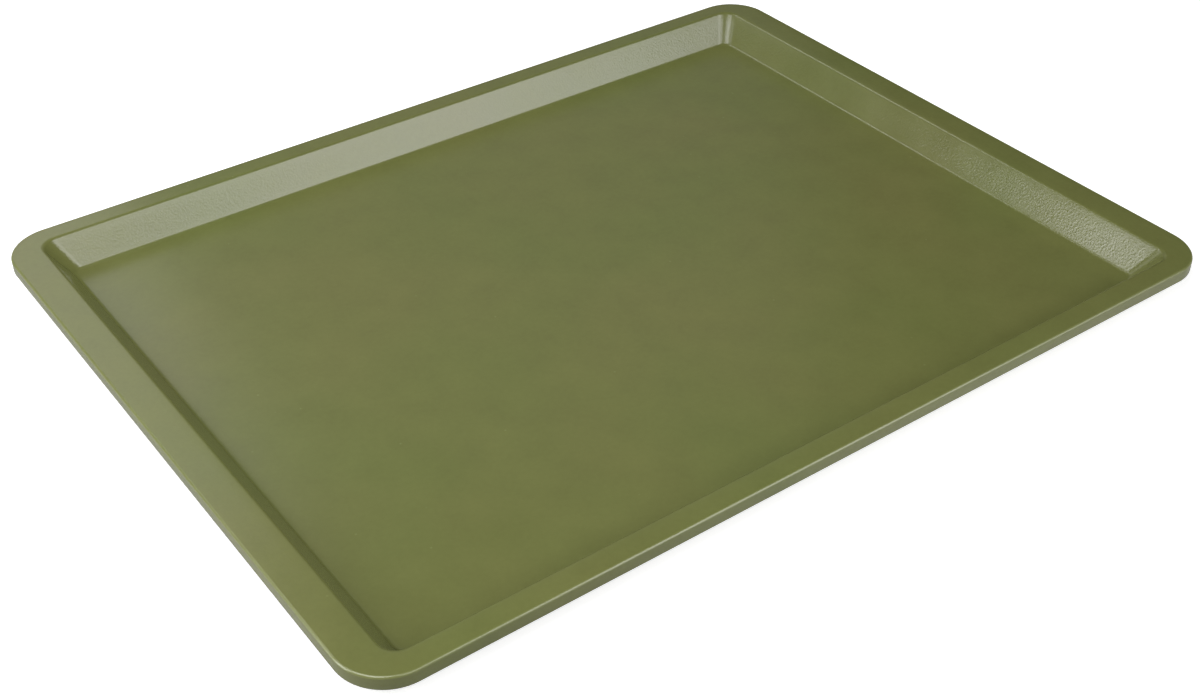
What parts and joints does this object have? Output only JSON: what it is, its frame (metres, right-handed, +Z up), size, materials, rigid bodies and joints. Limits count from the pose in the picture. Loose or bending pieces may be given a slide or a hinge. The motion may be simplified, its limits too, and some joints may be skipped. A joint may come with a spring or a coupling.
{
  "type": "cookie sheet",
  "caption": "Shallow rectangular baking tray with sloped walls, a flat flange and a rolled rim over a reinforcing wire, coated olive green.",
  "frame": {"origin": "middle of the floor's underside, the face that the tray rests on", "axes": "+X along the long side, +Y along the short side, +Z up out of the tray's mouth"},
  "size_m": [0.4, 0.3024, 0.0136],
  "materials": {
    "non_stick_coating": "satin olive-green non-stick coating with a fine speckle, on steel sheet",
    "rim_wire_steel": "drawn steel wire, hidden in the rolled rim"
  },
  "bodies": {
    "root": {"pressed_sheet": "non_stick_coating", "rim_wire": "rim_wire_steel"}
  },
  "joints": []
}
